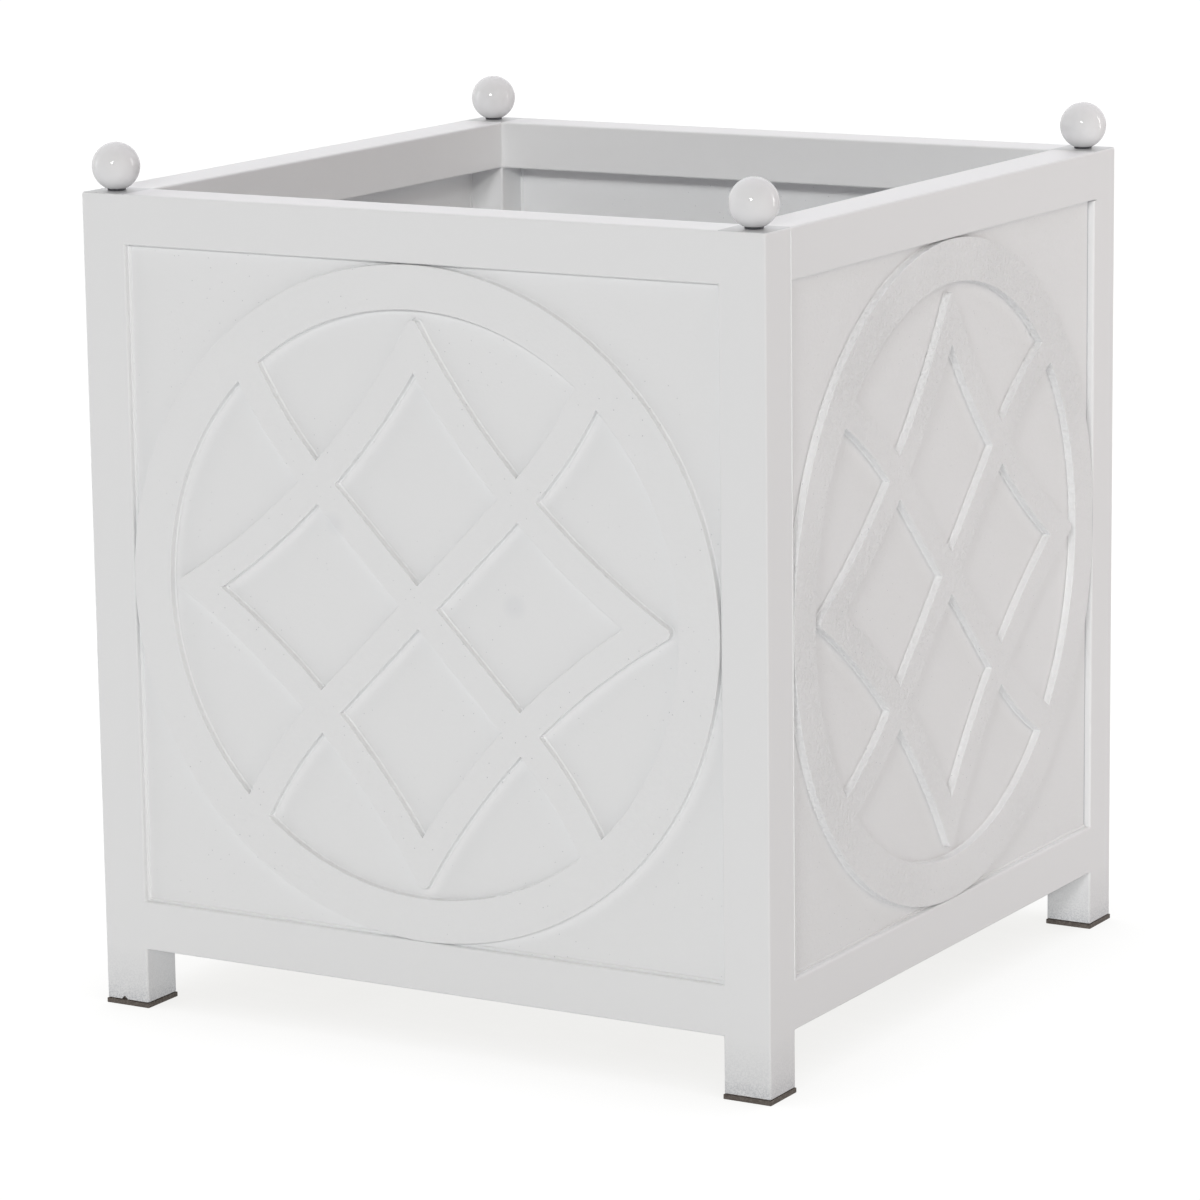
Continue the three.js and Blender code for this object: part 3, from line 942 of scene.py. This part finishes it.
class PLANTER_OT_feet(bpy.types.Operator):
    """Feet: moulded rubber pads with a chamfered edge and a hollow plug"""

    bl_idname = "planter.feet"
    bl_label = "Feet"

    def execute(self, context):
        sizes, colours, _ = settings()
        rubber = rubber_finish(colours)
        low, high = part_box("front_left_foot")
        joint = 0.0003
        pad = FOOT_TOP - joint - sizes.foot_groove
        foot = block("foot", (low.x, low.y, 0), (high.x, high.y, pad))
        finish_modifier(foot, "BEVEL", width=sizes.foot_chamfer, segments=3, limit_method="ANGLE")
        edit(foot, lambda face: face.normal.z > LEVEL)
        groove, plug, hollow = (0.0012, sizes.foot_groove), (0.0014, 0.018), (0.003, -0.017)
        for aside, up in (groove, plug, hollow):
            bpy.ops.mesh.inset(thickness=aside)
            bpy.ops.mesh.extrude_region_move(TRANSFORM_OT_translate={"value": (0, 0, up)})
        close()
        smooth(foot, 40)
        dress(foot, rubber)
        for corner in CORNERS:
            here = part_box(f"{corner}_foot")[0] - low
            twin = copied(foot, f"{corner}_rubber_foot", Matrix.Translation(here))
            put_on(twin, "root", "foot", f"{corner}_foot")
        bpy.data.objects.remove(foot)
        return {"FINISHED"}


class PLANTER_OT_bottom(bpy.types.Operator):
    """Bottom: matt paint on the floor plate, its ledges and its brace"""

    bl_idname = "planter.bottom"
    bl_label = "Bottom"

    def execute(self, context):
        _, colours, _ = settings()
        paint = paint_finish("bottom_matt_paint", colours)
        for node in ["floor_plate", "floor_brace"] + [f"{side}_floor_ledge" for side in SIDES]:
            dress(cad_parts[node], paint)
        return {"FINISHED"}


def heading(azimuth, elevation):
    """Points from the planter to what stands at an azimuth from the front, rightwards, and at an elevation."""
    level = math.cos(elevation)
    return Vector((math.sin(azimuth) * level, -math.cos(azimuth) * level, math.sin(elevation)))


class PLANTER_OT_studio(bpy.types.Operator):
    """Studio: white floor, soft lights and the camera"""

    bl_idname = "planter.studio"
    bl_label = "Studio"

    def execute(self, context):
        _, colours, studio = settings()
        scene = context.scene
        scene.view_settings.view_transform = "Standard"
        shade = tuple(colours.ground)
        dim = (0.6, 0.6, 0.6)
        unlit = ("diffuse", "glossy", "transmission", "shadow")
        # The camera sees the first floor, and light meets only the second
        floors = (
            ("studio_floor", CLEAR, 0.0, shade, studio.floor, unlit),
            ("bounce_floor", 0.0, 0.25, dim, studio.bounce, ("camera",)),
        )
        for name, level, tone, dark, glow, unseen_by in floors:
            ground = start(
                bpy.ops.mesh.primitive_circle_add,
                name,
                vertices=96,
                radius=30,
                fill_type="NGON",
                location=(0, 0, level),
            )
            dress(ground, ground_finish(f"{name}_paint", (tone, tone, tone), dark, glow))
            for rays in unseen_by:
                setattr(ground, f"visible_{rays}", False)

        world = bpy.data.worlds.new("white_room")
        world.use_nodes = True
        world.node_tree.nodes["Background"].inputs["Color"].default_value = (1.0, 1.0, 1.0, 1)
        world.node_tree.nodes["Background"].inputs["Strength"].default_value = studio.room
        scene.world = world
        world.cycles_visibility.diffuse = False

        middle = Vector((0, 0, 0.35))

        def light(name, kind, azimuth, elevation, away, **values):
            data = bpy.data.lights.new(name, kind)
            for key, value in values.items():
                setattr(data, key, value)
            lamp = bpy.data.objects.new(name, data)
            scene.collection.objects.link(lamp)
            aim = heading(math.radians(azimuth), math.radians(elevation))
            lamp.location = middle + aim * away
            lamp.rotation_euler = aim.to_track_quat("Z", "Y").to_euler()
            return lamp

        for name, azimuth, elevation, spread, strength, tint in SUNS:
            light(
                name, "SUN", azimuth, elevation, 6,
                energy=strength * studio.light, angle=math.radians(spread), color=tint,
            ).visible_glossy = name == "second_lamp"
        for name, azimuth, elevation, away, power, width, height, tint, gloss_only in LAMPS:
            lamp = light(
                name, "AREA", azimuth, elevation, away,
                energy=power * studio.light, color=tint, shape="RECTANGLE", size=width, size_y=height,
            )
            lamp.visible_diffuse, lamp.visible_glossy = not gloss_only, gloss_only

        data = bpy.data.cameras.new("photo_camera")
        data.lens, data.sensor_width, data.sensor_fit = studio.camera_lens, 36, "HORIZONTAL"
        data.clip_end = 200
        camera = bpy.data.objects.new("photo_camera", data)
        scene.collection.objects.link(camera)
        roll = studio.camera_roll
        back = heading(studio.camera_azimuth, studio.camera_elevation)
        right = (-back).cross(Vector((0, 0, 1))).normalized()
        up = back.cross(right)
        across = math.cos(roll) * right + math.sin(roll) * up
        upwards = math.cos(roll) * up - math.sin(roll) * right
        turn = Matrix((across, upwards, back)).transposed().to_4x4()
        camera.matrix_world = Matrix.Translation(studio.camera_place) @ turn
        scene.camera = camera
        return {"FINISHED"}


class PLANTER_PT_tools(bpy.types.Panel):
    """Tools and values of the planter"""

    bl_label = "Versailles Planter"
    bl_idname = "PLANTER_PT_tools"
    bl_space_type = "VIEW_3D"
    bl_region_type = "UI"
    bl_category = "Planter"

    def draw(self, context):
        for tool in TOOLS:
            self.layout.operator(tool.bl_idname)
        for group in settings():
            box = self.layout.box()
            for key in group.__annotations__:
                box.prop(group, key)


GROUPS = {"planter_sizes": PlanterSizes, "planter_colours": PlanterColours, "planter_studio": PlanterStudio}
TOOLS = (
    PLANTER_OT_frame,
    PLANTER_OT_panels,
    PLANTER_OT_ornaments,
    PLANTER_OT_finials,
    PLANTER_OT_feet,
    PLANTER_OT_bottom,
    PLANTER_OT_studio,
)


def register():
    for kind in (*GROUPS.values(), *TOOLS, PLANTER_PT_tools):
        bpy.utils.register_class(kind)
    for name, group in GROUPS.items():
        setattr(bpy.types.Scene, name, PointerProperty(type=group))


def unregister():
    for name in GROUPS:
        delattr(bpy.types.Scene, name)
    for kind in (PLANTER_PT_tools, *reversed(TOOLS), *GROUPS.values()):
        bpy.utils.unregister_class(kind)


def main():
    register()
    bpy.ops.planter.studio()
    bpy.ops.planter.frame()
    bpy.ops.planter.panels()
    bpy.ops.planter.ornaments()
    bpy.ops.planter.finials()
    bpy.ops.planter.feet()
    bpy.ops.planter.bottom()


if __name__ == "__main__":
    main()
